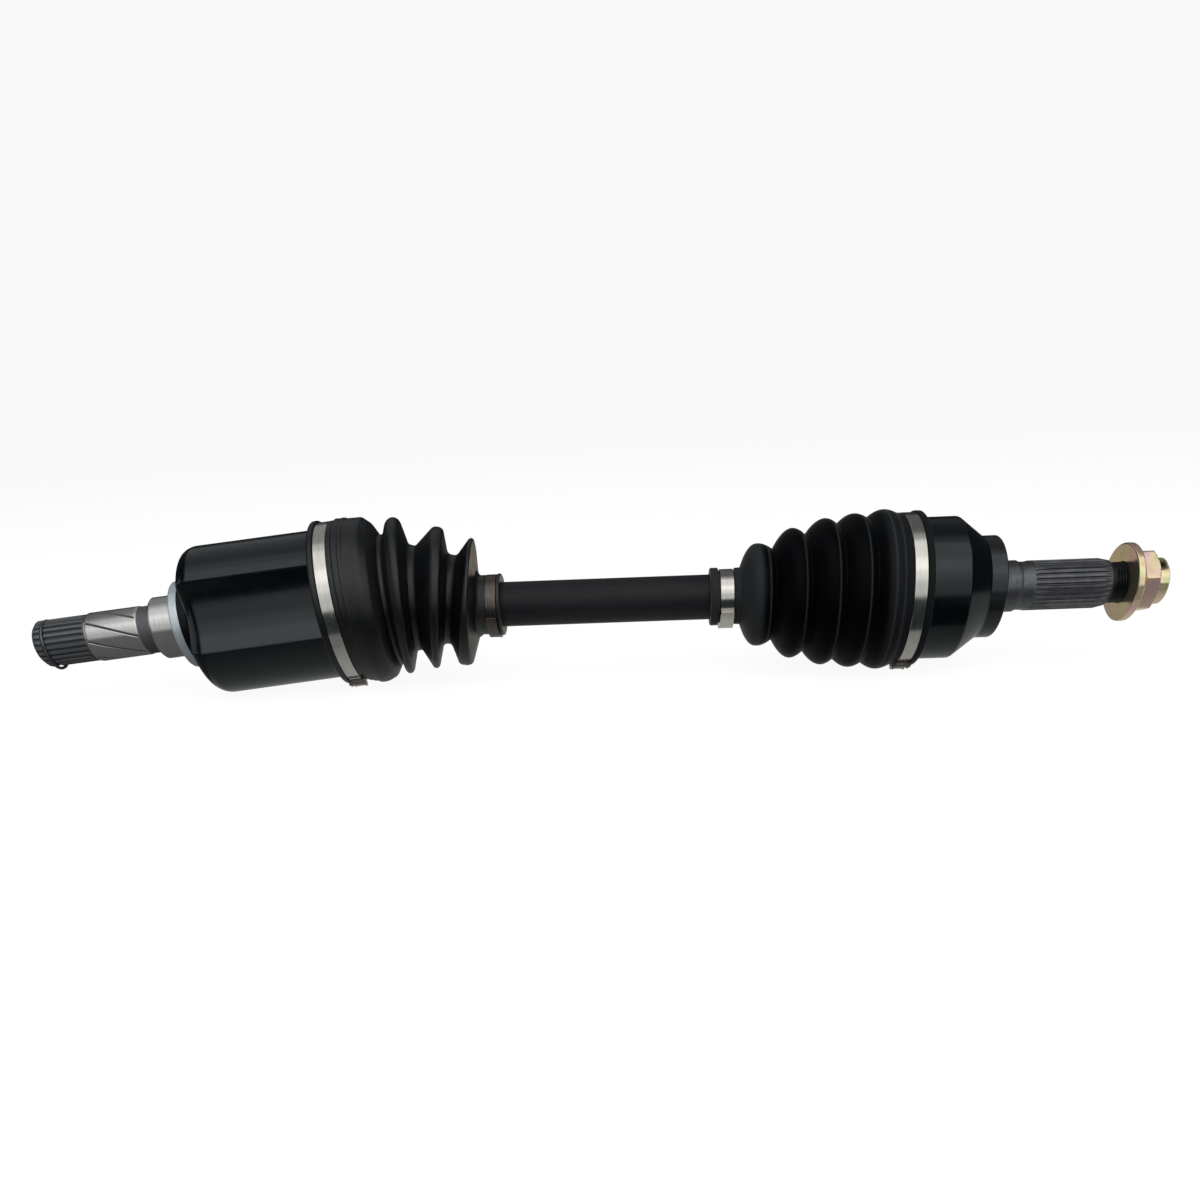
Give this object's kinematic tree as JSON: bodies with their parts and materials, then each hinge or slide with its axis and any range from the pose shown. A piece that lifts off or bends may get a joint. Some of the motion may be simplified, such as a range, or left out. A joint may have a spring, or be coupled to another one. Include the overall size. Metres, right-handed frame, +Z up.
{
  "type": "cv axle",
  "caption": "Front drive axle: a bar with a plunging tripod joint at one end, a fixed ball joint with splined stub and hub nut at the other, and a clamped rubber boot over each joint.",
  "frame": {"origin": "middle of the bounding box's floor, under the bar", "axes": "+X along the bar towards the hub nut, +Z up, +Y away from the side with the open hollow of the tripod housing"},
  "size_m": [0.6275, 0.0929, 0.092],
  "materials": {
    "black_paint": "satin black paint over forged steel",
    "bar_paint": "satin black paint over drawn steel bar",
    "rubber": "matte black moulded boot",
    "bushing_polymer": "matte black",
    "clamp_steel": "bright stainless band",
    "zinc": "clear zinc plate",
    "yellow_zinc": "yellow passivated zinc plate",
    "spring_steel": "dark spring steel",
    "bearing_steel": "ground bearing steel",
    "forged_steel": "machined forging"
  },
  "bodies": {
    "shaft": {"axle_bar": "bar_paint", "tripod_spider": "forged_steel", "roller_needles_1": "bearing_steel", "roller_needles_2": "bearing_steel", "roller_needles_3": "bearing_steel", "trunnion_ring_1": "spring_steel", "trunnion_ring_2": "spring_steel", "trunnion_ring_3": "spring_steel", "spider_snap_ring": "spring_steel", "inner_race": "bearing_steel", "inner_race_snap_ring": "spring_steel", "inner_boot_small_clamp": "clamp_steel", "outer_boot_small_clamp": "clamp_steel"},
    "tripod_rocker": {"tripod_roller_1": "bearing_steel"},
    "roller_2": {"tripod_roller_2": "bearing_steel"},
    "roller_3": {"tripod_roller_3": "bearing_steel"},
    "inner_boot_skin": {"inner_boot": "rubber"},
    "housing": {"tripod_housing": "black_paint", "housing_retaining_ring": "spring_steel", "boot_bushing": "bushing_polymer", "inner_boot_large_clamp": "clamp_steel", "stub_circlip": "spring_steel", "dust_ring": "zinc"},
    "outer_boot_skin": {"outer_boot": "rubber"},
    "bell": {"outer_race": "black_paint", "outer_boot_large_clamp": "clamp_steel"},
    "ball_pair": {"ball_1": "bearing_steel", "ball_4": "bearing_steel"},
    "cage": {"ball_cage": "forged_steel", "ball_2": "bearing_steel", "ball_3": "bearing_steel", "ball_5": "bearing_steel", "ball_6": "bearing_steel"},
    "washer": {"hub_washer": "yellow_zinc"},
    "nut": {"hub_nut": "yellow_zinc"}
  },
  "joints": [
    {"name": "inner_yaw", "type": "hinge", "parent": "shaft", "child": "tripod_rocker", "pos_m": [-0.1798, -0.0039, 0.0429], "axis": [0, -0.2588, 0.9659], "range_deg": [-13, 8]},
    {"name": "inner_pitch", "type": "hinge", "parent": "tripod_rocker", "child": "inner_boot_skin", "pos_m": [-0.1798, -0.0039, 0.0429], "axis": [0.1207, -0.9589, -0.2569], "range_deg": [-8, 8], "deforming": ["inner_boot"]},
    {"name": "plunge", "type": "slide", "parent": "inner_boot_skin", "child": "housing", "axis": [-0.9916, -0.1043, -0.0764], "range_m": [-0.005, 0.015]},
    {"name": "roller_2_spin", "type": "hinge", "parent": "shaft", "child": "roller_2", "pos_m": [-0.1798, -0.0039, 0.0429], "axis": [0, -0.7071, -0.7071], "range_deg": [-19, 57]},
    {"name": "roller_3_spin", "type": "hinge", "parent": "shaft", "child": "roller_3", "pos_m": [-0.1798, -0.0039, 0.0429], "axis": [0, 0.9659, -0.2588], "range_deg": [-57, 19]},
    {"name": "outer_yaw", "type": "hinge", "parent": "shaft", "child": "outer_boot_skin", "pos_m": [0.1821, -0.0039, 0.0429], "axis": [0, 0, 1], "range_deg": [-40, 40], "deforming": ["outer_boot"]},
    {"name": "outer_pitch", "type": "hinge", "parent": "outer_boot_skin", "child": "bell", "pos_m": [0.1821, -0.0039, 0.0429], "axis": [0, 1, 0], "range_deg": [-10, 10]},
    {"name": "cage_yaw", "type": "hinge", "parent": "shaft", "child": "ball_pair", "pos_m": [0.1821, -0.0039, 0.0429], "axis": [0, 0, 1], "range_deg": [-20, 20]},
    {"name": "cage_pitch", "type": "hinge", "parent": "ball_pair", "child": "cage", "pos_m": [0.1821, -0.0039, 0.0429], "axis": [0, 1, 0], "range_deg": [-5, 5]},
    {"name": "washer_travel", "type": "slide", "parent": "bell", "child": "washer", "axis": [-1, 0, 0], "range_m": [0, 0.0075]},
    {"name": "nut_spin", "type": "hinge", "parent": "washer", "child": "nut", "pos_m": [0.307, -0.0039, 0.0429], "axis": [-1, 0, 0], "range_deg": [0, 1800]}
  ],
  "couplings": [
    {"joint": "roller_2_spin", "follows": "plunge", "rad_per_m": 65.359},
    {"joint": "roller_3_spin", "follows": "plunge", "rad_per_m": -65.359},
    {"joint": "cage_yaw", "follows": "outer_yaw", "ratio": 0.5},
    {"joint": "cage_pitch", "follows": "outer_pitch", "ratio": 0.5},
    {"joint": "washer_travel", "follows": "nut_spin", "m_per_rad": 0.00023873}
  ]
}
